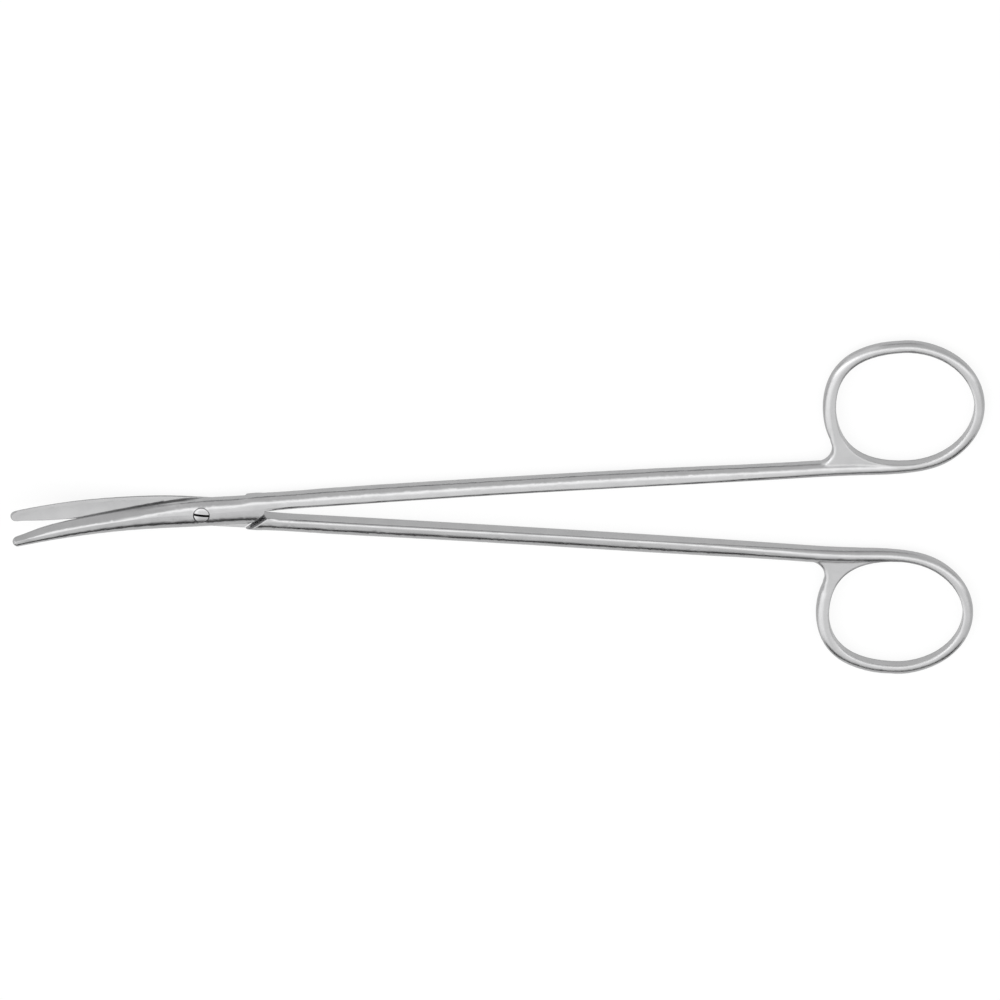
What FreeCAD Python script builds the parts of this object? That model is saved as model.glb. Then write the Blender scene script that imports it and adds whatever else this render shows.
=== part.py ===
import FreeCAD, Part

import math
import os

# Dissecting scissors with curved blades, in millimetres.
# Two forged halves cross at a lapped joint and turn on one slotted screw.
# Both halves are drawn closed, along X, and then opened by half the rest angle each.
# Frame: the pivot axis is Z through the origin, the blades point to +X and curve up,
# the rings lie at -X, and the flat under the joint is the plane Z = 0.
# The front half lies on top at the joint. Its ring is on the -Y side.

# Opening at rest, from closed, in degrees
REST_OPENING = 6.95

# Blades
BLADE_LENGTH = 46.2           # from the pivot axis to the tip, along the curved mating face
BLADE_BEND_START = 3.6        # the mating face is flat up to here
BLADE_BEND_RADIUS = 89.0
EDGE_LAND_AT_JOINT = 0.70     # height of the upright land along the cutting edge
EDGE_LAND_AT_TIP = 0.50
TIP_RADIUS = 1.20
TIP_CENTRE_HEIGHT = 0.50      # of the tip's ball, over the mating face
HOLLOW_DEPTH_AT_JOINT = 0.10  # hollow grinding of the mating face
HOLLOW_DEPTH_AT_TIP = 0.03
HOLLOW_START = 9.0
HOLLOW_EDGE_MARGIN = 0.35
HOLLOW_SPINE_MARGIN = 0.80
HOLLOW_STATIONS = 6
MATING_GAP = 0.08             # between the two mating faces

# Joint
JOINT_WIDTH = 7.2
JOINT_THICKNESS = 4.8
JOINT_TAPER = 0.08            # each side thinner toward the crotch
JOINT_STATIONS = (0.6, 0.2)   # behind the pivot, as shares of the crotch's distance
JOINT_CROWN_SHARES = (0.75, 0.50, 0.35)  # place of the crown line there and at the bend, of the shank's
JOINT_EDGE_INSET = 0.25       # from the side of the joint to where the cutting edge starts
JOINT_EDGE_BEVEL = 0.20       # how far the edge side is ground to a flat bevel there
CROTCH_DISTANCE = 14.9        # from the pivot axis to where the shanks part
SHOULDER_ANGLE = 40.0         # of the diagonal shoulder, from the long axis
SHOULDER_SLOPE = 15.0         # lean of the shoulder wall from upright
SHOULDER_CLEARANCE = 0.15
SHOULDER_FOOT_RADIUS = 0.35
UNDERSIDE_LAND = 0.12         # depth of the flat ground on the crowned underside

# Shanks
SHANK_WIDTH_AT_JOINT = 3.68
SHANK_WIDTH_AT_RING = 3.65
SHANK_THICKNESS_AT_JOINT = 4.20
SHANK_THICKNESS_AT_RING = 3.60
SHANK_CROWN_INSET = 0.75      # from the flat inner wall to the crown line
INNER_WALL_SHARE = 0.78       # part of the shank's thickness that is flat wall
CROTCH_GAP = 0.06             # from the centre line to each inner wall, closed
RING_GAP = 0.16               # from the centre line to each ring, closed

# Rings
RING_WIRE_WIDTH = 2.45
RING_WIRE_THICKNESS = 3.00
RING_FLAT_CUT = 0.80          # taken off the round bar to leave a flat inner wall
RING_ROOT_EXTRA = 0.65        # extra width of the wire at the end next to the shank
RING_SHOULDER_ROUND_SHARE = 0.66  # of the end next to the shank; 0.5523 is an ellipse
WEB_THICKNESS = 2.70
WEB_CORNER_RADIUS = 3.8
WEB_EDGE_ROUNDING = 1.0
WEB_LEAD = 5.0                # length over which the web's edge runs out into the shank
WEB_LEAD_INSET = 0.6          # depth of the web's edge in the bar where it ends
WEB_RIM_LEAD_QUARTERS = 0.30  # the same run-out along the ring, in quarters of the ring
RING_FADE_QUARTERS = 3.0      # where the wire starts to sink into the web, in quarters of the ring
RING_END_QUARTERS = 3.5       # where it ends
RING_END_WIDTH_SHARE = 0.75   # of the wire's width, there
RING_END_THICKNESS_SHARE = 0.85  # of the web's thickness, there

# Pivot screw
SCREW_HEAD_RADIUS = 1.87
SCREW_HEAD_DOME = 0.28
SCREW_HEAD_HEIGHT = 1.05      # at its rim
SCREW_HEAD_RIM_DROP = 0.26    # from the crown of the joint down to the rim of the head
SCREW_SHANK_RADIUS = 1.30
SCREW_SLOT_WIDTH = 0.50
SCREW_SLOT_DEPTH = 0.55
SCREW_SLOT_ANGLE = -6.5
SCREW_EDGE_BREAK = 0.10
HEAD_CLEARANCE = 0.05         # round the head
SEAT_CLEARANCE = 0.03         # under the head
RUNNING_CLEARANCE = 0.03      # front half on the screw, radial
THREAD_CLEARANCE = 0.01       # back half on the screw, radial

# Stations of the shank past the crotch, as shares of its length, and from where it rounds toward the ring
SHANK_STATIONS = (0.08, 0.25, 0.45, 0.65, 0.82, 0.92)
SHANK_ROUNDING_START = 0.65
RING_STATIONS = 8             # from the shank's end round the ring to its outer side
RETURN_STATIONS = 8           # from there back to the web

# The two halves differ a little in their shanks and rings.
# side is +1 for the half on top at the joint and -1 for the half below. bow is how far the
# inner wall of the shank leaves a straight line, at most, and with a higher bow_power
# the place where it does lies nearer to the ring.
FRONT = {
    "side": 1,
    "ring_distance": 167.2,
    "opening_length": 32.6,
    "opening_width": 29.2,
    "bow": 0.76,
    "bow_power": 1,
}
BACK = {
    "side": -1,
    "ring_distance": 165.5,
    "opening_length": 31.7,
    "opening_width": 27.4,
    "bow": 0.40,
    "bow_power": 4,
}

# Sections of the joint and blade: share of the length to the tip, distance of the
# cutting edge and of the spine from the centre line, place of the crown line,
# height over the mating face, and how far the edge side is ground to a flat bevel.
BLADE_SECTIONS = (
    (0.22, 2.80, 3.45, -0.35, 2.25, 0.55),
    (0.38, 2.22, 3.15, -0.15, 2.08, 0.85),
    (0.54, 1.88, 2.86, 0.00, 1.90, 1.00),
    (0.70, 1.75, 2.55, 0.10, 1.68, 1.00),
    (0.85, 1.35, 2.20, 0.22, 1.45, 1.00),
    (1.02, 0.72, 1.66, 0.35, 1.15, 1.00),
)

MIDDLE = JOINT_THICKNESS / 2 - UNDERSIDE_LAND
RING_BLANK_WIDTH = RING_WIRE_WIDTH + RING_FLAT_CUT
HALF_JOINT = JOINT_WIDTH / 2
ROUND_SHARE = 0.62            # handle length of a full, slightly square quarter round
TRUE_ROUND_SHARE = 0.5523     # the same for a quarter of an ellipse
BEVEL_HANDLE_SHARE = 0.60     # handle length of a flat bevel at the cutting edge
BEVEL_CROWN_SHARE = 0.30      # how much shorter its handle is at the crown line
CORNER_WALL = 0.15            # shortest upright wall at the side of a section
FAR = 30.0                    # reach of the cutting tools past the part


def vector(x, y, z):
    return FreeCAD.Vector(x, y, z)


def bezier(points):
    curve = Part.BezierCurve()
    curve.setPoles(points)
    return curve.toShape()


def mating_frame(distance):
    """Point and up direction on the mating face, at a distance along it."""
    if distance <= BLADE_BEND_START:
        return vector(distance, 0, MIDDLE), vector(0, 0, 1)
    angle = (distance - BLADE_BEND_START) / BLADE_BEND_RADIUS
    x = BLADE_BEND_START + BLADE_BEND_RADIUS * math.sin(angle)
    z = MIDDLE + BLADE_BEND_RADIUS * (1 - math.cos(angle))
    return vector(x, 0, z), vector(-math.sin(angle), 0, math.cos(angle))


def first_part(curve, limit):
    """The part of a cubic curve up to a distance across."""
    low = 0.0
    high = 1.0
    for _ in range(40):
        t = (low + high) / 2
        rows = [list(curve)]
        while len(rows[-1]) > 1:
            rows.append([tuple(a + t * (b - a) for a, b in zip(p, q))
                         for p, q in zip(rows[-1], rows[-1][1:])])
        if rows[-1][0][0] < limit:
            low = t
        else:
            high = t
    return [row[0] for row in rows]


def section(place, left, left_wall, crown, height, right, right_wall, bevel=0.0, full=ROUND_SHARE,
            cut_off=None):
    """Closed six-edged section, the same above and below its middle.

    place turns a pair (across, up) into a point. left and right are the two sides,
    with upright walls of the given half heights. bevel flattens the left side, full
    is the handle length of the rounding, and cut_off ends the right side early.
    """
    rise = height - left_wall
    near_crown = (crown - (full - BEVEL_CROWN_SHARE * bevel) * (crown - left), height)
    round_handle = (left, left_wall + full * rise)
    flat_handle = (left + BEVEL_HANDLE_SHARE * (near_crown[0] - left),
                   left_wall + BEVEL_HANDLE_SHARE * rise)
    handle = tuple(a + bevel * (b - a) for a, b in zip(round_handle, flat_handle))
    left_curve = [(left, left_wall), handle, near_crown, (crown, height)]
    right_curve = [
        (crown, height),
        (crown + full * (right - crown), height),
        (right, right_wall + full * (height - right_wall)),
        (right, right_wall),
    ]
    if cut_off is not None:
        right_curve = first_part(right_curve, cut_off)
        right, right_wall = right_curve[-1]

    def upper(points):
        return bezier([place(u, w) for u, w in points])

    def lower(points):
        return bezier([place(u, -w) for u, w in reversed(points)])

    edges = [
        Part.makeLine(place(left, -left_wall), place(left, left_wall)),
        upper(left_curve),
        upper(right_curve),
        Part.makeLine(place(right, right_wall), place(right, -right_wall)),
        lower(right_curve),
        lower(left_curve),
    ]
    return Part.Wire(edges)


def wall_gap(half, x):
    """Distance of a shank's inner wall from the centre line, closed."""
    start = -CROTCH_DISTANCE
    share = (x - start) / (-half["ring_distance"] - start)
    straight = CROTCH_GAP + share * (RING_GAP - CROTCH_GAP)
    power = half["bow_power"]
    highest = power ** power / (power + 1) ** (power + 1)
    return straight + half["bow"] * share ** power * (1 - share) / highest


def placer(half, distance):
    """Turns a pair (across, up) at a distance along the mating face into a point."""
    side = half["side"]
    base, up = mating_frame(distance)
    return lambda u, w: base + vector(0, side * u, 0) + up * (side * w)


def crotch_section(half, cut_off=None):
    """Section where the joint ends and, cut off at its inner wall, the shank begins."""
    outer = CROTCH_GAP + SHANK_WIDTH_AT_JOINT
    return section(placer(half, -CROTCH_DISTANCE), -outer, CORNER_WALL,
                   -(CROTCH_GAP + SHANK_CROWN_INSET), SHANK_THICKNESS_AT_JOINT / 2, outer,
                   CORNER_WALL, cut_off=cut_off)


def edge_land(distance):
    """Height of the land along the cutting edge, at a distance from the pivot axis."""
    share = distance / BLADE_LENGTH
    return EDGE_LAND_AT_JOINT + share * (EDGE_LAND_AT_TIP - EDGE_LAND_AT_JOINT)


def blade_blank(half):
    """The joint and the blade at full thickness, before the mating face is cut."""
    crowns = [-share * (CROTCH_GAP + SHANK_CROWN_INSET) for share in JOINT_CROWN_SHARES]
    height = JOINT_THICKNESS / 2
    wires = [crotch_section(half)]
    for share, crown, drop in zip(JOINT_STATIONS, crowns, (JOINT_TAPER, 0.0)):
        wires.append(section(placer(half, -share * CROTCH_DISTANCE), -HALF_JOINT, CORNER_WALL, crown,
                             height - drop, HALF_JOINT, CORNER_WALL))
    wires.append(section(placer(half, BLADE_BEND_START), JOINT_EDGE_INSET - HALF_JOINT,
                         edge_land(BLADE_BEND_START), crowns[-1], height, HALF_JOINT, CORNER_WALL,
                         JOINT_EDGE_BEVEL))
    for share, edge, spine, crown, height, bevel in BLADE_SECTIONS:
        distance = share * BLADE_LENGTH
        wires.append(section(placer(half, distance), -edge, edge_land(distance), crown, height,
                             spine, CORNER_WALL, bevel))
    return Part.makeLoft(wires, True, False)


def bar_section(point, outward, half, width, thickness, crown, inner_wall, full=TRUE_ROUND_SHARE):
    """Section of the shank or ring bar, across the plan direction outward."""
    side = half["side"]
    across = vector(outward.x, side * outward.y, 0)
    centre = vector(point.x, side * point.y, MIDDLE)

    def place(u, w):
        return centre + across * u + vector(0, 0, side * w)

    return section(place, -width / 2, CORNER_WALL, crown, thickness / 2, width / 2, inner_wall,
                   full=full)


def oval_quarter(quarter, half_length, half_width):
    """Corner points of one quarter of a ring's oval, as a cubic curve, from its centre.

    The quarters run from the side next to the centre line to the far end, then
    round the outside to the end next to the shank, and back to the near side.
    """
    corners = ((0, 1), (-1, 0), (0, -1), (1, 0), (0, 1))
    start = corners[quarter]
    end = corners[quarter + 1]
    full = TRUE_ROUND_SHARE if quarter < 2 else RING_SHOULDER_ROUND_SHARE
    corner_pairs = ((start, end, 0.0), (start, end, full), (end, start, full), (end, start, 0.0))
    return [(half_length * (a[0] + k * b[0]), half_width * (a[1] + k * b[1]))
            for a, b, k in corner_pairs]


def oval_point(centre, half_length, half_width, share):
    """Point and outward direction on a ring's oval, share counted in quarters."""
    quarter = min(int(share), 3)
    t = share - quarter
    poles = oval_quarter(quarter, half_length, half_width)
    weights = ((1 - t) ** 3, 3 * t * (1 - t) ** 2, 3 * t * t * (1 - t), t ** 3)
    slopes = (-3 * (1 - t) ** 2, 3 * (1 - t) * (1 - 3 * t), 3 * t * (2 - 3 * t), 3 * t * t)
    x = sum(w * p[0] for w, p in zip(weights, poles))
    y = sum(w * p[1] for w, p in zip(weights, poles))
    dx = sum(k * p[0] for k, p in zip(slopes, poles))
    dy = sum(k * p[1] for k, p in zip(slopes, poles))
    return vector(centre.x + x, centre.y + y, 0), vector(dy, -dx, 0).normalize()


def ring_centre(half):
    y = -(RING_GAP + RING_WIRE_WIDTH + half["opening_width"] / 2)
    return vector(-half["ring_distance"], y, 0)


def ring_path(half, share, extra=0.0):
    """Middle of the round bar along the ring, moved outward where the wire is wider."""
    offset = RING_WIRE_WIDTH - RING_BLANK_WIDTH / 2
    point, outward = oval_point(ring_centre(half), half["opening_length"] / 2 + offset,
                                half["opening_width"] / 2 + offset, share)
    return point + outward * (extra / 2), outward


def shank_and_ring(half):
    """The bar from the crotch along the shank and round the ring to its outer side."""
    wires = [crotch_section(half, -CROTCH_GAP)]
    straight = vector(0, 1, 0)
    start = -CROTCH_DISTANCE
    end = -half["ring_distance"]
    for share in SHANK_STATIONS:
        x = start + share * (end - start)
        toward_ring = max(0.0, share - SHANK_ROUNDING_START) / (1 - SHANK_ROUNDING_START)
        width = SHANK_WIDTH_AT_JOINT + share * (SHANK_WIDTH_AT_RING - SHANK_WIDTH_AT_JOINT)
        thick = SHANK_THICKNESS_AT_JOINT + share * (SHANK_THICKNESS_AT_RING - SHANK_THICKNESS_AT_JOINT)
        crown = (width / 2 - SHANK_CROWN_INSET) * (1 - toward_ring)
        wall = CORNER_WALL + (1 - toward_ring) * (INNER_WALL_SHARE * thick / 2 - CORNER_WALL)
        point = vector(x, -(wall_gap(half, x) + width / 2), 0)
        full = ROUND_SHARE + toward_ring * (TRUE_ROUND_SHARE - ROUND_SHARE)
        wires.append(bar_section(point, straight, half, width, thick, crown, wall, full))
    for step in range(RING_STATIONS + 1):
        point, outward = ring_path(half, 2 * step / RING_STATIONS)
        wires.append(bar_section(point, outward, half, RING_BLANK_WIDTH, RING_WIRE_THICKNESS, 0.0,
                                 CORNER_WALL))
    return Part.makeLoft(wires, True, False)


def root_extra(share):
    """Extra width of the wire, which grows toward the end next to the shank."""
    return RING_ROOT_EXTRA * min(1.0, max(0.0, share - 2.0))


def ring_return(half):
    """The bar from the ring's outer side back to the web, where it sinks in."""
    wires = []
    for step in range(RETURN_STATIONS):
        share = 2 + step * (RING_END_QUARTERS - 2) / (RETURN_STATIONS - 1)
        extra = root_extra(share)
        point, outward = ring_path(half, share, extra)
        fade = max(0.0, share - RING_FADE_QUARTERS) / (RING_END_QUARTERS - RING_FADE_QUARTERS)
        width = (RING_BLANK_WIDTH + extra) * (1 - (1 - RING_END_WIDTH_SHARE) * fade * fade)
        end_thick = RING_END_THICKNESS_SHARE * WEB_THICKNESS
        thick = RING_WIRE_THICKNESS + fade * (end_thick - RING_WIRE_THICKNESS)
        wires.append(bar_section(point, outward, half, width, thick, 0.0, CORNER_WALL))
    return Part.makeLoft(wires, True, False)


def outer_rim(half, share):
    """Point on the outer rim of the ring, and the direction outward."""
    extra = root_extra(share)
    point, outward = ring_path(half, share, extra)
    return point + outward * ((RING_BLANK_WIDTH + extra) / 2), outward


def web_corner(half):
    """Place of the concave corner round that touches the shank and the ring's outer rim.

    Returns its centre, its two touching points and how far round the ring the second is.
    """
    x = -half["ring_distance"] + half["opening_length"] / 2
    line = -(wall_gap(half, x) + SHANK_WIDTH_AT_RING)
    low = 3.0
    high = 4.0
    for _ in range(40):
        share = (low + high) / 2
        rim, outward = outer_rim(half, share)
        if rim.y + outward.y * WEB_CORNER_RADIUS < line - WEB_CORNER_RADIUS:
            low = share
        else:
            high = share
    corner = rim + outward * WEB_CORNER_RADIUS
    return corner, vector(corner.x, line, 0), rim, share


def web_plate(half):
    """Flat web that fills the corner between shank and ring, with a concave outer edge."""
    side = half["side"]
    corner, touch, rim, share = web_corner(half)
    middle = corner + ((touch + rim) * 0.5 - corner).normalize() * WEB_CORNER_RADIUS
    shank_end = touch + vector(WEB_LEAD, WEB_LEAD_INSET, 0)
    rim_end, outward = outer_rim(half, share - WEB_RIM_LEAD_QUARTERS)
    centre = ring_centre(half)
    inner = -(RING_GAP + RING_BLANK_WIDTH / 2)
    outline = [
        vector(shank_end.x, inner, 0),
        shank_end,
        touch,
        rim,
        rim_end - outward * WEB_LEAD_INSET,
        centre,
        vector(centre.x, inner, 0),
    ]
    level = MIDDLE - WEB_THICKNESS / 2
    points = [vector(p.x, side * p.y, level) for p in outline]
    edges = [Part.makeLine(a, b) for a, b in zip(points, points[1:] + points[:1])]
    edges[2] = Part.Arc(points[2], vector(middle.x, side * middle.y, level), points[3]).toShape()
    outer_edges = [edge.CenterOfMass for edge in edges[1:4]]
    plate = Part.Face(Part.Wire(edges)).extrude(vector(0, 0, WEB_THICKNESS))
    rims = []
    for place in outer_edges:
        for height in (0, WEB_THICKNESS):
            here = place + vector(0, 0, height)
            rims.append(min(plate.Edges, key=lambda edge: edge.CenterOfMass.distanceToPoint(here)))
    return plate.makeFillet(WEB_EDGE_ROUNDING, rims)


def finger_hole(half):
    """Prism through the ring, which leaves the ring's inner wall flat."""
    side = half["side"]
    centre = ring_centre(half)
    edges = []
    for quarter in range(4):
        poles = oval_quarter(quarter, half["opening_length"] / 2, half["opening_width"] / 2)
        edges.append(bezier([vector(centre.x + x, side * (centre.y + y), MIDDLE - FAR)
                             for x, y in poles]))
    return Part.Face(Part.Wire(edges)).extrude(vector(0, 0, 2 * FAR))


def plan_prism(points, half, level, rise, lean=(0.0, 0.0)):
    """Prism on a plan outline. rise is its signed height and lean its drift in plan."""
    side = half["side"]
    corners = [vector(x, side * y, MIDDLE + side * level) for x, y in points]
    face = Part.Face(Part.makePolygon(corners + corners[:1]))
    return face.extrude(vector(lean[0], side * lean[1], side * rise))


def lies_in(edge, point, normal):
    """Whether an edge lies in a plane."""
    first, last = edge.ParameterRange
    samples = [edge.valueAt(first + share * (last - first)) for share in (0.0, 0.5, 1.0)]
    return all(abs((sample - point).dot(normal)) < 0.001 for sample in samples)


def shoulder_wall(half):
    """Point at the foot of the half's own shoulder, and the direction across its wall."""
    side = half["side"]
    angle = math.radians(SHOULDER_ANGLE)
    slope = math.tan(math.radians(SHOULDER_SLOPE))
    foot = vector(-CROTCH_DISTANCE, 0, MIDDLE + side * MATING_GAP / 2)
    along = vector(math.cos(angle), -side * math.sin(angle), 0)
    rise = vector(-math.sin(angle) * slope, -side * math.cos(angle) * slope, -side)
    return foot, along.cross(rise).normalize()


def shoulder_tools(half):
    """Cutters for the half's own shoulder and for its diagonal end on the far side."""
    angle = math.radians(SHOULDER_ANGLE)
    along = (math.cos(angle), math.sin(angle))
    slope = math.tan(math.radians(SHOULDER_SLOPE))
    back = (-math.sin(angle), math.cos(angle))
    half_gap = MATING_GAP / 2
    depth = JOINT_THICKNESS

    reach = (CROTCH_DISTANCE + BLADE_BEND_START) / along[0]
    own = [
        (-CROTCH_DISTANCE - reach * along[0], reach * along[1]),
        (-CROTCH_DISTANCE + reach * along[0], -reach * along[1]),
        (BLADE_BEND_START, reach * along[1]),
    ]
    drift = (back[0] * slope * (depth + half_gap), -back[1] * slope * (depth + half_gap))
    lap_cut = plan_prism(own, half, half_gap, -(depth + half_gap), drift)
    foot, wall = shoulder_wall(half)
    feet = [edge for edge in lap_cut.Edges
            if lies_in(edge, foot, wall) and lies_in(edge, foot, vector(0, 0, 1))]
    lap_cut = lap_cut.makeFillet(SHOULDER_FOOT_RADIUS, feet)

    # The end starts a little under the mating face, clear of the rounded foot.
    low = -2 * SHOULDER_FOOT_RADIUS
    near = (-CROTCH_DISTANCE + back[0] * (slope * low - SHOULDER_CLEARANCE),
            back[1] * (slope * low - SHOULDER_CLEARANCE))
    other = [
        (near[0] - FAR * along[0], near[1] - FAR * along[1]),
        (near[0] + FAR * along[0], near[1] + FAR * along[1]),
        (near[0] - FAR, near[1] + FAR * along[1]),
        (near[0] - 2 * FAR, near[1] - FAR * along[1]),
    ]
    rise = depth - low
    end_cut = plan_prism(other, half, low, rise, (back[0] * slope * rise, back[1] * slope * rise))
    return lap_cut, end_cut


def mating_cut(half):
    """Everything beyond the mating face along the blade."""
    side = half["side"]
    level = MIDDLE + side * MATING_GAP / 2
    radius = BLADE_BEND_RADIUS - side * MATING_GAP / 2
    centre_z = MIDDLE + BLADE_BEND_RADIUS

    def on_arc(angle, r):
        return vector(BLADE_BEND_START + r * math.sin(angle), -FAR, centre_z - r * math.cos(angle))

    sweep = (BLADE_LENGTH + TIP_RADIUS - BLADE_BEND_START) / BLADE_BEND_RADIUS
    start = vector(0, -FAR, level)
    bend = vector(BLADE_BEND_START, -FAR, level)
    depth = JOINT_THICKNESS
    outer_radius = radius + side * depth
    edges = [
        Part.makeLine(start, bend),
        Part.Arc(bend, on_arc(sweep / 2, radius), on_arc(sweep, radius)).toShape(),
        Part.makeLine(on_arc(sweep, radius), on_arc(sweep, outer_radius)),
        Part.Arc(on_arc(sweep, outer_radius), on_arc(sweep / 2, outer_radius),
                 on_arc(0, outer_radius)).toShape(),
        Part.makeLine(on_arc(0, outer_radius), vector(0, -FAR, level - side * depth)),
        Part.makeLine(vector(0, -FAR, level - side * depth), start),
    ]
    return Part.Face(Part.Wire(edges)).extrude(vector(0, 2 * FAR, 0))


def blade_half_widths(distance):
    """Distances of the cutting edge and the spine from the centre line."""
    stations = [(s * BLADE_LENGTH, edge, spine) for s, edge, spine, *rest in BLADE_SECTIONS]
    for (d0, e0, s0), (d1, e1, s1) in zip(stations, stations[1:]):
        if distance <= d1 or d1 == stations[-1][0]:
            t = (distance - d0) / (d1 - d0)
            return e0 + t * (e1 - e0), s0 + t * (s1 - s0)


def hollow_cut(half):
    """Shallow hollow ground along the mating face of the blade."""
    side = half["side"]
    wires = []
    span = BLADE_LENGTH - TIP_RADIUS - HOLLOW_START
    for step in range(HOLLOW_STATIONS):
        share = step / (HOLLOW_STATIONS - 1)
        distance = HOLLOW_START + share * span
        depth = HOLLOW_DEPTH_AT_JOINT + share * (HOLLOW_DEPTH_AT_TIP - HOLLOW_DEPTH_AT_JOINT)
        base, up = mating_frame(distance)
        edge, spine = blade_half_widths(distance)
        left = -edge + HOLLOW_EDGE_MARGIN
        right = spine - HOLLOW_SPINE_MARGIN
        level = MATING_GAP / 2
        outside = -JOINT_THICKNESS / 2

        def place(u, w):
            return base + vector(0, side * u, 0) + up * (side * w)

        corners = [place(left, outside), place(left, level), place(right, level),
                   place(right, outside)]
        top = place((left + right) / 2, level + depth)
        wires.append(Part.Wire([
            Part.makeLine(corners[0], corners[1]),
            Part.Arc(corners[1], top, corners[2]).toShape(),
            Part.makeLine(corners[2], corners[3]),
            Part.makeLine(corners[3], corners[0]),
        ]))
    return Part.makeLoft(wires, True, False)


def tip_cut(half):
    """What lies outside the ball that rounds the blunt tip."""
    side = half["side"]
    distance = BLADE_LENGTH - TIP_RADIUS
    base, up = mating_frame(distance)
    along = vector(up.z, 0, -up.x)
    edge, spine = blade_half_widths(distance)
    centre = base + vector(0, side * (spine - edge) / 2, 0) + up * (side * TIP_CENTRE_HEIGHT)
    block = Part.makeBox(FAR, 2 * FAR, 2 * FAR, vector(0, -FAR, -FAR))
    block.Placement = FreeCAD.Placement(centre, FreeCAD.Rotation(vector(0, 1, 0), -math.degrees(
        math.atan2(along.z, along.x))))
    return block.cut(Part.makeSphere(TIP_RADIUS, centre))


def cylinder(radius, low, high):
    return Part.makeCylinder(radius, high - low, vector(0, 0, low))


def head_rim_level():
    return MIDDLE + JOINT_THICKNESS / 2 - SCREW_HEAD_RIM_DROP


def head_seat_level():
    return head_rim_level() - SCREW_HEAD_HEIGHT


def make_half(half):
    lap_cut, end_cut = shoulder_tools(half)
    joint = blade_blank(half).cut(end_cut)
    bar = shank_and_ring(half).fuse(web_plate(half)).fuse(ring_return(half)).cut(finger_hole(half))
    shape = joint.fuse(bar).cut(lap_cut)
    shape = shape.cut(mating_cut(half))
    shape = shape.cut(hollow_cut(half))
    shape = shape.cut(tip_cut(half))
    if half["side"] > 0:
        hole = cylinder(SCREW_SHANK_RADIUS + RUNNING_CLEARANCE, -FAR, FAR)
        seat = cylinder(SCREW_HEAD_RADIUS + HEAD_CLEARANCE, head_seat_level() - SEAT_CLEARANCE, FAR)
        shape = shape.cut(hole).cut(seat)
    else:
        shape = shape.cut(cylinder(SCREW_SHANK_RADIUS + THREAD_CLEARANCE, -FAR, FAR))
    shape = shape.cut(Part.makeBox(8 * FAR, 2 * FAR, FAR, vector(-6 * FAR, -FAR, -FAR)))
    shape.rotate(vector(0, 0, 0), vector(0, 0, 1), half["side"] * REST_OPENING / 2)
    return shape


def make_screw():
    rim = head_rim_level()
    seat = head_seat_level()
    dome_radius = (SCREW_HEAD_RADIUS ** 2 + SCREW_HEAD_DOME ** 2) / (2 * SCREW_HEAD_DOME)
    top = rim + SCREW_HEAD_DOME
    angle = math.asin(SCREW_HEAD_RADIUS / dome_radius) / 2
    arc_middle = vector(dome_radius * math.sin(angle), 0, top - dome_radius * (1 - math.cos(angle)))
    profile = [
        Part.makeLine(vector(0, 0, 0), vector(SCREW_SHANK_RADIUS - SCREW_EDGE_BREAK, 0, 0)),
        Part.makeLine(vector(SCREW_SHANK_RADIUS - SCREW_EDGE_BREAK, 0, 0),
                      vector(SCREW_SHANK_RADIUS, 0, SCREW_EDGE_BREAK)),
        Part.makeLine(vector(SCREW_SHANK_RADIUS, 0, SCREW_EDGE_BREAK),
                      vector(SCREW_SHANK_RADIUS, 0, seat)),
        Part.makeLine(vector(SCREW_SHANK_RADIUS, 0, seat), vector(SCREW_HEAD_RADIUS, 0, seat)),
        Part.makeLine(vector(SCREW_HEAD_RADIUS, 0, seat), vector(SCREW_HEAD_RADIUS, 0, rim)),
        Part.Arc(vector(SCREW_HEAD_RADIUS, 0, rim), arc_middle, vector(0, 0, top)).toShape(),
        Part.makeLine(vector(0, 0, top), vector(0, 0, 0)),
    ]
    screw = Part.Face(Part.Wire(profile)).revolve(vector(0, 0, 0), vector(0, 0, 1), 360)
    slot = Part.makeBox(4 * SCREW_HEAD_RADIUS, SCREW_SLOT_WIDTH, FAR,
                        vector(-2 * SCREW_HEAD_RADIUS, -SCREW_SLOT_WIDTH / 2,
                               top - SCREW_SLOT_DEPTH))
    slot.rotate(vector(0, 0, 0), vector(0, 0, 1), SCREW_SLOT_ANGLE)
    return screw.cut(slot)


def save(shape, name):
    solid = shape.Solids[0]
    print(name, "solids", len(shape.Solids), "valid", solid.isValid(), "faces", len(solid.Faces),
          "volume", round(solid.Volume, 2))
    solid.exportStep("parts/" + name + ".step")


os.makedirs("parts", exist_ok=True)
save(make_half(FRONT), "front_half")
save(make_half(BACK), "back_half")
save(make_screw(), "pivot_screw")
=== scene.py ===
import math

import bpy
from mathutils import Matrix, Vector

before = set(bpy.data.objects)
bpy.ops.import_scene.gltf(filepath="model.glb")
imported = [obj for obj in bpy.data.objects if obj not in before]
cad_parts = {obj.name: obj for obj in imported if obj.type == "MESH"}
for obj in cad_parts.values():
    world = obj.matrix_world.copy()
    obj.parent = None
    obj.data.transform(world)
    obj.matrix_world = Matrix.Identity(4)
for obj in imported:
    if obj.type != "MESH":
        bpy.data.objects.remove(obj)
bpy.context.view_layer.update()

# Photograph's frame: 1000 x 1000 pixels, 0.2361 mm each at the object.
PICTURE = 1000
PIXEL = 0.2361e-3
CAMERA_DISTANCE = 4.0
CAMERA_TILT = 25.6            # of the line of sight from straight down, in degrees
PIVOT_PIXEL = (201.5, 511.4)  # where the pivot axis crosses the mating level
MATING_LEVEL = 2.28e-3
SENSOR = 36.0

# White table, lit mostly from below.
TABLE_SIDE = 6.0
TABLE_COLOUR = (0.18, 0.18, 0.18, 1)
TABLE_GLOW = 0.84           # as it is seen
TABLE_GLOW_MIRRORED = 0.55  # as steel mirrors it

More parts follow.
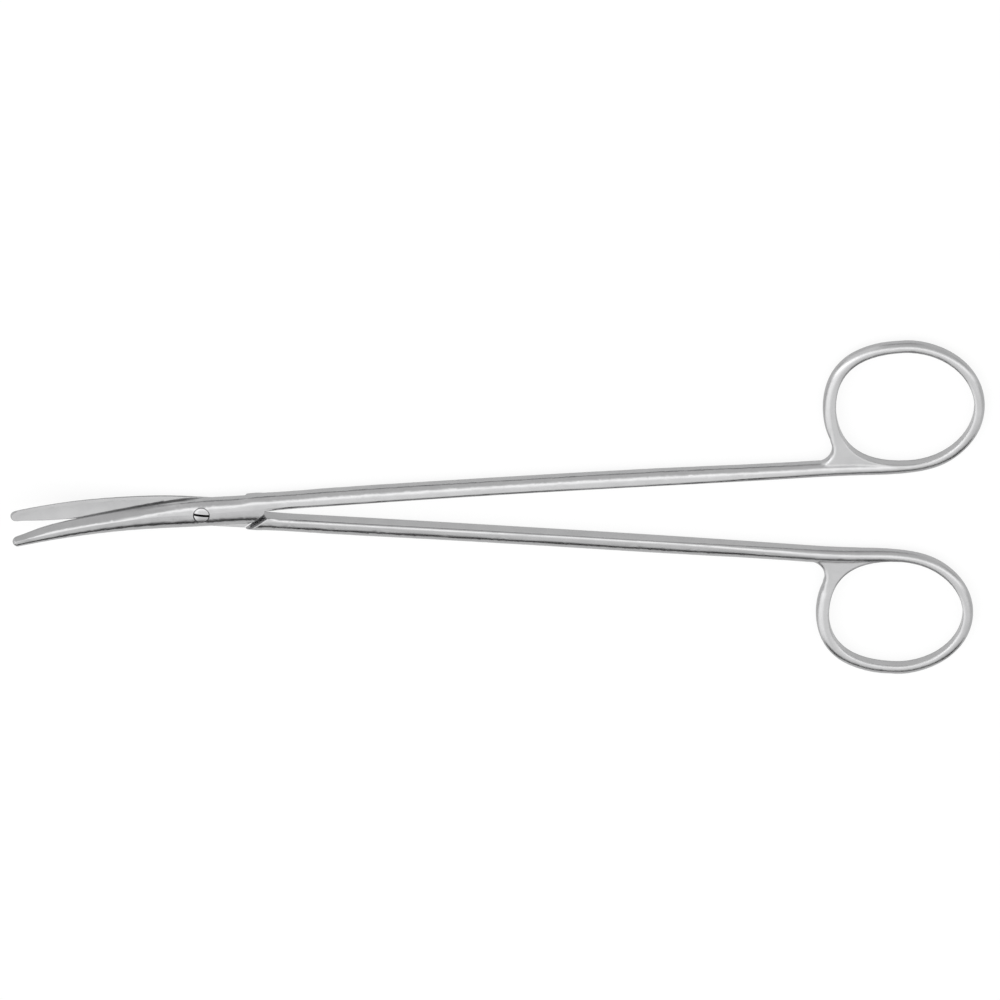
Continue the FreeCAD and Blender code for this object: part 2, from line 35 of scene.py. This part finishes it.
# Brightness of the light tent, by the direction's angle from straight up in the plane
# across the scissors, from the rings' upper side (-Y, positive) to the other side.
TENT_ACROSS = (
    (-90.0, 0.70),
    (-71.0, 0.76),
    (-65.0, 0.05),
    (-52.0, 0.05),
    (-46.0, 0.76),
    (-28.0, 1.00),
    (-5.0, 1.10),
    (2.5, 1.60),
    (12.0, 1.60),
    (18.0, 0.92),
    (29.0, 0.69),
    (68.0, 0.68),
    (78.0, 0.25),
    (90.0, 0.25),
)

# Share of that brightness, by the angle from straight up in the plane along the
# scissors, from the rings' end (negative) to the tips' end.
TENT_ALONG = (
    (-90.0, 0.52),
    (-66.0, 0.66),
    (-40.0, 1.00),
    (9.0, 1.00),
    (18.0, 1.35),
    (52.0, 1.35),
    (62.0, 0.60),
    (90.0, 0.52),
)

# Steel of the halves, SATIN, and of the screw, TURNED: colour, roughness, how fine the
# lines are in each direction, and how strongly they show.
SATIN = (0.56, 0.56, 0.565)
SATIN_ROUGHNESS = 0.17
BRUSHED_ALONG = (60.0, 4200.0, 4200.0)
BRUSHED_STRENGTH = 0.35
TURNED = (0.58, 0.58, 0.585)
TURNED_ROUGHNESS = 0.20
TURNED_EVEN = (3000.0, 3000.0, 3000.0)
TURNED_STRENGTH = 0.2
LINE_DEPTH = 0.02e-3
LINE_LEVELS = (0.3, 0.7)
SMOOTHER = 0.05              # how far the lines take the roughness down
ROUGHER = 0.06               # and up
STAIN_SCALE = 260.0
STAIN_LEVELS = (0.25, 0.75)
STAIN_TONES = (0.94, 1.04)

# Polished rounding of the edges, by the place along the scissors.
RING_EDGE = 0.80e-3                # at the rings, which are rounded for the fingers
JOINT_EDGE = 0.12e-3               # at the shanks, joint and blades
RING_TO_SHANK = (-0.142, -0.132)
BUFFED_EDGE = 0.45e-3              # where an edge is broken by hand
BUFFED_FADE = 0.4e-3
FRONT_BUFFED = (0.0430, 0.0500)    # on the front half: the blade's tip
BACK_BUFFED = (-0.0160, -0.0125)   # on the back half: the shoulder

# Upright land of the cutting edges, painted darker: painted shade for the shaded gap between the
# blades that it mirrors.
LAND_LEAN = (0.20, 0.45)     # vertical part of its normal, and of one that is no land
LAND_START = (0.001, 0.004)
LAND_FADE = (0.010, 0.030)
LAND_LOSS = (0.72, 0.10)     # of brightness, before and after the fade

# Painted shade at the screw: dark lines in its slot, round its head's rim and in the gap of its
# seat, with the stretch over which each begins or ends.
SLOT_ANGLE = -6.5                       # in degrees
SLOT_HALF_WIDTH = (0.285e-3, 0.310e-3)
SLOT_SHADE = 0.03
HEAD_RIM = (1.72e-3, 1.80e-3)           # distances from the pivot axis
HEAD_RIM_SHADE = 0.28
# painted shade in the gap of the seat round the screw's head
SEAT_GAP = (1.95e-3, 2.01e-3)
SEAT_GAP_SHADE = 0.15
SEAT_BOTTOM = (2.4e-3, 2.6e-3)          # levels


def link(name, data):
    """Object in the scene that shows some data."""
    made = bpy.data.objects.new(name, data)
    bpy.context.collection.objects.link(made)
    return made


def add_camera():
    """Camera that puts the pivot on its pixel, upside down over the rings' side."""
    tilt = math.radians(CAMERA_TILT)
    right = Vector((-1, 0, 0))
    up = Vector((0, -math.cos(tilt), -math.sin(tilt)))
    back = right.cross(up)
    middle = PICTURE / 2
    across = (middle - PIVOT_PIXEL[0]) * PIXEL
    down = (middle - PIVOT_PIXEL[1]) * PIXEL
    target = Vector((0, 0, MATING_LEVEL)) + right * across - up * down
    data = bpy.data.cameras.new("camera")
    data.sensor_width = SENSOR
    data.lens = SENSOR * CAMERA_DISTANCE / (PICTURE * PIXEL)
    data.clip_start = 0.1
    data.clip_end = 50
    camera = link("camera", data)
    turn = Matrix((right, up, back)).transposed().to_4x4()
    camera.matrix_world = Matrix.Translation(target + back * CAMERA_DISTANCE) @ turn
    bpy.context.scene.camera = camera


def add_node(nodes, kind, place=(0, 0), **inputs):
    """Shader node with some of its inputs set."""
    node = nodes.new(kind)
    node.location = place
    for name, value in inputs.items():
        node.inputs[name.replace("_", " ")].default_value = value
    return node


def map_range(nodes, links, source, place, levels, results):
    """Value that goes from one result to the other as the source rises between two levels."""
    node = add_node(nodes, "ShaderNodeMapRange", place, From_Min=levels[0], From_Max=levels[1],
                    To_Min=results[0], To_Max=results[1])
    links.new(source, node.inputs["Value"])
    return node.outputs["Result"]


def math_node(nodes, links, operation, place, *sources):
    """Math node on sockets or plain numbers."""
    node = add_node(nodes, "ShaderNodeMath", place)
    node.operation = operation
    for index, source in enumerate(sources):
        if isinstance(source, (int, float)):
            node.inputs[index].default_value = source
        else:
            links.new(source, node.inputs[index])
    return node.outputs["Value"]


def add_floor():
    """Plain white table top, lit from below as a light table is.

    Steel mirrors it darker than it looks, as a table that is screened off would be.
    """
    data = bpy.data.meshes.new("floor")
    side = TABLE_SIDE
    corners = [(-side, -side, 0), (side, -side, 0), (side, side, 0), (-side, side, 0)]
    data.from_pydata(corners, [], [(0, 1, 2, 3)])
    floor = link("floor", data)
    material = bpy.data.materials.new("light_table")
    material.use_nodes = True
    nodes = material.node_tree.nodes
    links = material.node_tree.links
    shader = nodes["Principled BSDF"]
    shader.inputs["Base Color"].default_value = TABLE_COLOUR
    shader.inputs["Roughness"].default_value = 0.9
    shader.inputs["Specular IOR Level"].default_value = 0.0
    shader.inputs["Emission Color"].default_value = (1, 1, 1, 1)
    path = add_node(nodes, "ShaderNodeLightPath", (-500, -200))
    glow = map_range(nodes, links, path.outputs["Is Glossy Ray"], (-300, -200), (0.0, 1.0),
                     (TABLE_GLOW, TABLE_GLOW_MIRRORED))
    links.new(glow, shader.inputs["Emission Strength"])
    data.materials.append(material)


def tent_curve(nodes, links, side, steps, place):
    """Brightness by how far a direction leans to one side, as an angle."""
    x, y = place
    angle = math_node(nodes, links, "ARCSINE", place, side)
    share = map_range(nodes, links, angle, (x + 200, y), (-math.pi / 2, math.pi / 2), (0.0, 1.0))
    ramp = add_node(nodes, "ShaderNodeValToRGB", (x + 400, y))
    elements = ramp.color_ramp.elements
    for index, (degrees, level) in enumerate(steps):
        position = (degrees + 90.0) / 180.0
        element = elements[index] if index < 2 else elements.new(position)
        element.position = position
        element.color = (level, level, level, 1)
    links.new(share, ramp.inputs["Fac"])
    return ramp.outputs["Color"]


def add_world():
    """Light tent: a long bright panel overhead, a narrow dark gap and pale walls.

    It is brightest toward the tips' end.
    """
    world = bpy.data.worlds.new("studio")
    bpy.context.scene.world = world
    world.use_nodes = True
    nodes = world.node_tree.nodes
    links = world.node_tree.links
    background = nodes["Background"]
    coordinates = add_node(nodes, "ShaderNodeTexCoord", (-1200, 0))
    split = add_node(nodes, "ShaderNodeSeparateXYZ", (-1000, 0))
    links.new(coordinates.outputs["Generated"], split.inputs["Vector"])
    toward = math_node(nodes, links, "MULTIPLY", (-800, 100), split.outputs["Y"], -1.0)
    across = tent_curve(nodes, links, toward, TENT_ACROSS, (-600, 100))
    along = tent_curve(nodes, links, split.outputs["X"], TENT_ALONG, (-600, -300))
    both = add_node(nodes, "ShaderNodeVectorMath", (100, 0))
    both.operation = "MULTIPLY"
    links.new(across, both.inputs[0])
    links.new(along, both.inputs[1])
    links.new(both.outputs["Vector"], background.inputs["Color"])
    background.inputs["Strength"].default_value = 1.0


def pivot_radius(nodes, links, split):
    """Distance from the pivot axis."""
    x_squared = math_node(nodes, links, "POWER", (-1000, 500), split.outputs["X"], 2.0)
    y_squared = math_node(nodes, links, "POWER", (-1000, 350), split.outputs["Y"], 2.0)
    total = math_node(nodes, links, "ADD", (-850, 450), x_squared, y_squared)
    return math_node(nodes, links, "SQRT", (-700, 450), total)


def painted_land_shade(nodes, links, split):
    """Painted shade on upright faces of the blades, such as the cutting edge's land, fading toward
    the tip.
    """
    coordinates = add_node(nodes, "ShaderNodeTexCoord", (-1400, 1100))
    normal = add_node(nodes, "ShaderNodeSeparateXYZ", (-1200, 1100))
    links.new(coordinates.outputs["Normal"], normal.inputs["Vector"])
    lean = math_node(nodes, links, "ABSOLUTE", (-1000, 1100), normal.outputs["Z"])
    upright = map_range(nodes, links, lean, (-800, 1100), LAND_LEAN, (1.0, 0.0))
    blade = map_range(nodes, links, split.outputs["X"], (-800, 1300), LAND_START, (0.0, 1.0))
    fade = map_range(nodes, links, split.outputs["X"], (-800, 1500), LAND_FADE, LAND_LOSS)
    place = math_node(nodes, links, "MULTIPLY", (-550, 1300), blade, fade)
    loss = math_node(nodes, links, "MULTIPLY", (-400, 1200), upright, place)
    return math_node(nodes, links, "SUBTRACT", (-250, 1200), 1.0, loss)


def painted_seat_shade(nodes, links, split):
    """Painted shade in the gap of the screw's seat round its head, on the half that holds the seat,
    and the painted shade of the land.
    """
    radius = pivot_radius(nodes, links, split)
    ring = map_range(nodes, links, radius, (-550, 450), SEAT_GAP, (SEAT_GAP_SHADE, 1.0))
    below = map_range(nodes, links, split.outputs["Z"], (-550, 650), SEAT_BOTTOM, (1.0, 0.0))
    gap = math_node(nodes, links, "MAXIMUM", (-350, 550), ring, below)
    land = painted_land_shade(nodes, links, split)
    return math_node(nodes, links, "MULTIPLY", (-200, 700), gap, land)


def painted_head_shade(nodes, links, split):
    """Painted shade in the slot and round the rim of the screw's head."""
    angle = math.radians(SLOT_ANGLE)
    part_x = math_node(nodes, links, "MULTIPLY", (-1000, 800), split.outputs["X"], -math.sin(angle))
    part_y = math_node(nodes, links, "MULTIPLY", (-1000, 650), split.outputs["Y"], math.cos(angle))
    aside = math_node(nodes, links, "ADD", (-850, 700), part_x, part_y)
    distance = math_node(nodes, links, "ABSOLUTE", (-700, 700), aside)
    slot = map_range(nodes, links, distance, (-550, 700), SLOT_HALF_WIDTH, (SLOT_SHADE, 1.0))
    radius = pivot_radius(nodes, links, split)
    rim = map_range(nodes, links, radius, (-550, 450), HEAD_RIM, (1.0, HEAD_RIM_SHADE))
    return math_node(nodes, links, "MINIMUM", (-350, 550), slot, rim)


def edge_radius(nodes, links, split, buffed):
    """Radius of the polished edges, wider in the stretch that is buffed, if there is one."""
    along = split.outputs["X"]
    radius = map_range(nodes, links, along, (-900, -500), RING_TO_SHANK, (RING_EDGE, JOINT_EDGE))
    if buffed is None:
        return radius
    start, end = buffed
    enter = map_range(nodes, links, along, (-900, -700), (start - BUFFED_FADE, start),
                      (0.0, BUFFED_EDGE))
    leave = map_range(nodes, links, along, (-900, -900), (end, end + BUFFED_FADE),
                      (BUFFED_EDGE, 0.0))
    here = math_node(nodes, links, "MINIMUM", (-750, -800), enter, leave)
    return math_node(nodes, links, "MAXIMUM", (-650, -600), radius, here)


def steel(name, tint, roughness, line_scale, line_strength, shade, buffed=None):
    """Satin stainless steel, with fine lines, slight stains, polished edges and the painted shade
    that shade gives.
    """
    material = bpy.data.materials.new(name)
    material.use_nodes = True
    nodes = material.node_tree.nodes
    links = material.node_tree.links
    shader = nodes["Principled BSDF"]
    shader.inputs["Metallic"].default_value = 1.0

    coordinates = add_node(nodes, "ShaderNodeTexCoord", (-1400, 0))
    split = add_node(nodes, "ShaderNodeSeparateXYZ", (-1200, 500))
    links.new(coordinates.outputs["Object"], split.inputs["Vector"])
    stretch = add_node(nodes, "ShaderNodeMapping", (-1200, 0), Scale=line_scale)
    links.new(coordinates.outputs["Object"], stretch.inputs["Vector"])
    lines = add_node(nodes, "ShaderNodeTexNoise", (-1000, 0), Scale=1.0, Detail=4.0, Roughness=0.65)
    links.new(stretch.outputs["Vector"], lines.inputs["Vector"])
    stains = add_node(nodes, "ShaderNodeTexNoise", (-1000, -300), Scale=STAIN_SCALE, Detail=5.0,
                      Roughness=0.55)
    links.new(coordinates.outputs["Object"], stains.inputs["Vector"])

    tone = map_range(nodes, links, stains.outputs["Fac"], (-700, 200), STAIN_LEVELS, STAIN_TONES)
    # painted shade from the given mask, times the stains' random tone
    dark = shade(nodes, links, split)
    stains_and_painted_shade = math_node(nodes, links, "MULTIPLY", (-150, 300), tone, dark)
    colour = add_node(nodes, "ShaderNodeVectorMath", (0, 200))
    colour.operation = "SCALE"
    colour.inputs[0].default_value = tint
    links.new(stains_and_painted_shade, colour.inputs["Scale"])
    links.new(colour.outputs["Vector"], shader.inputs["Base Color"])

    rough = map_range(nodes, links, lines.outputs["Fac"], (-700, -100), LINE_LEVELS,
                      (roughness - SMOOTHER, roughness + ROUGHER))
    links.new(rough, shader.inputs["Roughness"])

    edge = add_node(nodes, "ShaderNodeBevel", (-500, -500))
    edge.samples = 6
    links.new(edge_radius(nodes, links, split, buffed), edge.inputs["Radius"])
    bump = add_node(nodes, "ShaderNodeBump", (-300, -400), Strength=line_strength,
                    Distance=LINE_DEPTH)
    links.new(lines.outputs["Fac"], bump.inputs["Height"])
    links.new(edge.outputs["Normal"], bump.inputs["Normal"])
    links.new(bump.outputs["Normal"], shader.inputs["Normal"])
    return material


def satin_steel(name, shade, buffed):
    """Steel of the two halves, brushed along them."""
    return steel(name, SATIN, SATIN_ROUGHNESS, BRUSHED_ALONG, BRUSHED_STRENGTH, shade, buffed)


def turned_steel(name):
    """Steel of the screw, with painted shade in its slot and round its head's rim."""
    return steel(name, TURNED, TURNED_ROUGHNESS, TURNED_EVEN, TURNED_STRENGTH, painted_head_shade)


def dress(node, material):
    """One material for all of a CAD node."""
    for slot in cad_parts[node].material_slots:
        slot.material = material


add_camera()
add_floor()
add_world()
# The front half gets painted shade in the screw's seat and on its land, the back half on its land.
dress("front_half", satin_steel("satin_steel_front", painted_seat_shade, FRONT_BUFFED))
dress("back_half", satin_steel("satin_steel_back", painted_land_shade, BACK_BUFFED))
dress("pivot_screw", turned_steel("turned_steel_screw"))

bpy.context.scene.view_settings.view_transform = "Standard"
